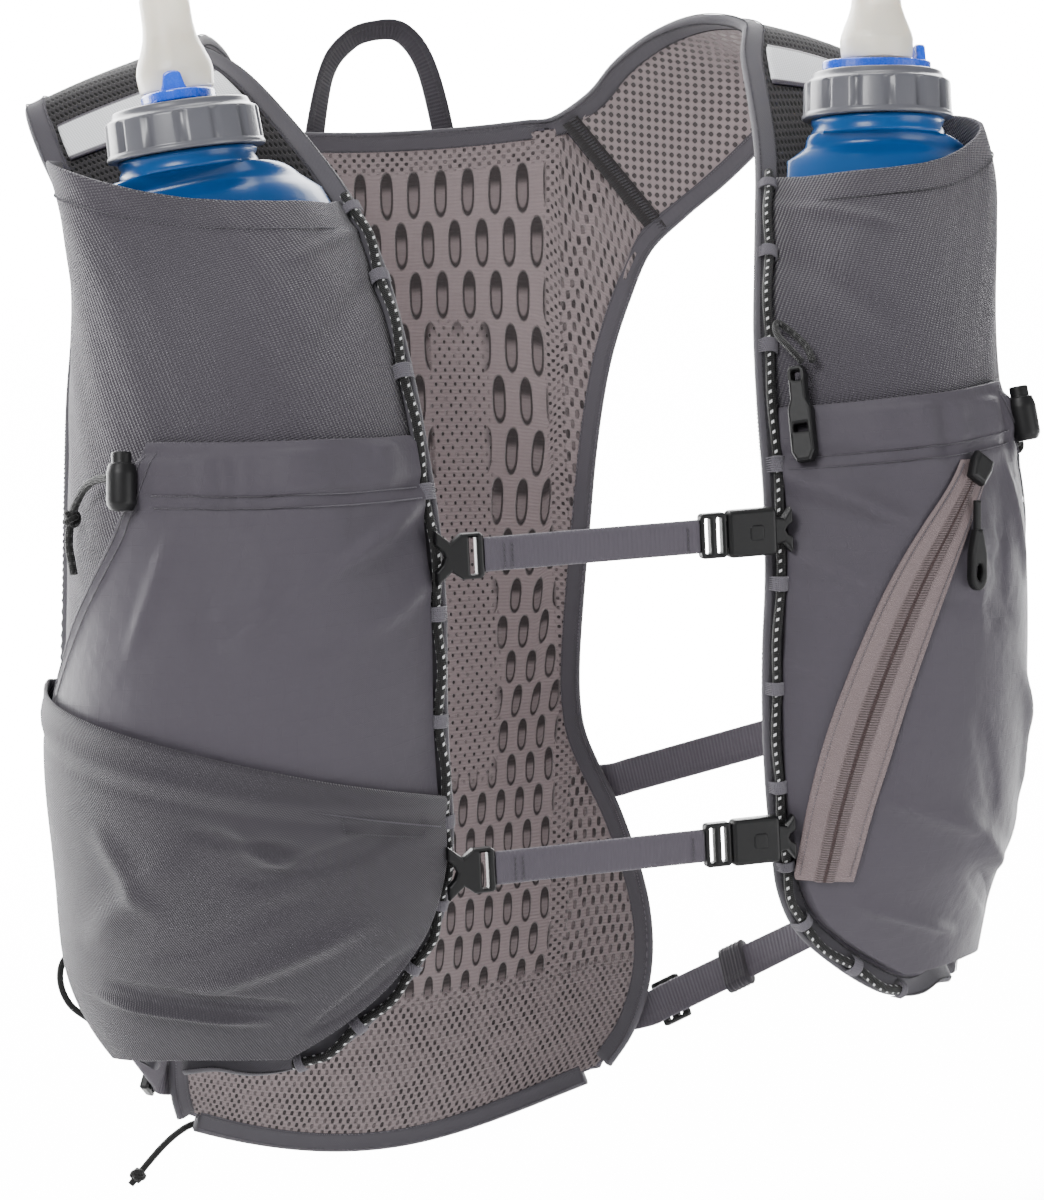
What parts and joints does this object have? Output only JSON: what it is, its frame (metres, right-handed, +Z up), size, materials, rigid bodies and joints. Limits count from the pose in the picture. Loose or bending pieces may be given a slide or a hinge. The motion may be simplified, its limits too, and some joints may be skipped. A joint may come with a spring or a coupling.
{
  "type": "running hydration vest",
  "caption": "Running hydration vest as worn: mesh back, front panels with pockets and soft flasks with bite valves, chest straps, side straps and elastic lacing.",
  "frame": {"origin": "midway between the two shoulder straps, level with their crest at the neck edge, where the vest rests on the shoulders", "axes": "+Z up, front of the vest towards -Y, +X towards the wearer's left"},
  "size_m": [0.3247, 0.2636, 0.4198],
  "materials": {
    "panel_cloth": "matte knit",
    "back_mesh": "open mesh",
    "binding": "folded tape",
    "pocket_knit": "stretch knit",
    "pocket_nylon": "smooth nylon",
    "stretch_pocket": "stretch cloth",
    "cap": "satin",
    "valve": "translucent silicone",
    "lever": "glossy",
    "flask": "soft translucent film",
    "reflective_band": "reflective",
    "elastic_cord": "braided with light flecks",
    "webbing": "woven",
    "buckle_plastic": "moulded",
    "black_plastic": "moulded",
    "cord": "braided with light flecks",
    "zip_tape": "coated tape",
    "trim_plastic": "moulded",
    "zip_puller": "moulded"
  },
  "bodies": {
    "vest": {"front_panel_right": "panel_cloth", "front_panel_left": "panel_cloth", "back_panel": "back_mesh", "neck_binding": "binding", "armhole_binding_right": "binding", "armhole_binding_left": "binding", "hem_binding": "binding", "bottle_pocket_right": "pocket_knit", "front_pocket_right": "pocket_nylon", "bottle_pocket_left": "pocket_knit", "front_pocket_left": "pocket_nylon", "lower_pocket_right": "stretch_pocket", "flask_right": "flask", "flask_cap_right": "cap", "flask_valve_right": "valve", "flask_left": "flask", "flask_cap_left": "cap", "flask_valve_left": "valve", "shoulder_band_right": "reflective_band", "shoulder_band_left": "reflective_band", "lace_cord_right": "elastic_cord", "lace_cord_left": "elastic_cord", "sternum_hook_upper": "buckle_plastic", "sternum_strap_upper": "webbing", "sternum_buckle_male_upper": "buckle_plastic", "sternum_buckle_female_upper": "buckle_plastic", "sternum_hook_lower": "buckle_plastic", "sternum_strap_lower": "webbing", "sternum_buckle_male_lower": "buckle_plastic", "sternum_buckle_female_lower": "buckle_plastic", "side_strap_upper_right": "webbing", "side_strap_lower_right": "webbing", "ladder_lock_right": "black_plastic", "side_strap_upper_left": "webbing", "side_strap_lower_left": "webbing", "ladder_lock_left": "black_plastic", "haul_loop": "webbing", "zip_tape": "zip_tape", "zip_slider": "trim_plastic", "zip_puller": "zip_puller", "cord_lock_right": "trim_plastic", "drawcord_right": "cord", "cord_lock_left": "trim_plastic", "drawcord_left": "cord", "whistle": "trim_plastic", "whistle_cord": "cord", "hem_cord": "cord", "side_loop_right": "elastic_cord", "strap_keeper_left": "webbing"},
    "lever_right": {"flask_lever_right": "lever"},
    "lever_left": {"flask_lever_left": "lever"}
  },
  "joints": [
    {"name": "flask_lever_right_turn", "type": "hinge", "parent": "vest", "child": "lever_right", "pos_m": [-0.11504, -0.075, -0.034], "axis": [-0.0695, 0.0993, 0.9926], "range_deg": [0, 90]},
    {"name": "flask_lever_left_turn", "type": "hinge", "parent": "vest", "child": "lever_left", "pos_m": [0.11359, -0.075, -0.034], "axis": [0.0695, 0.0993, 0.9926], "range_deg": [-90, 0]}
  ]
}
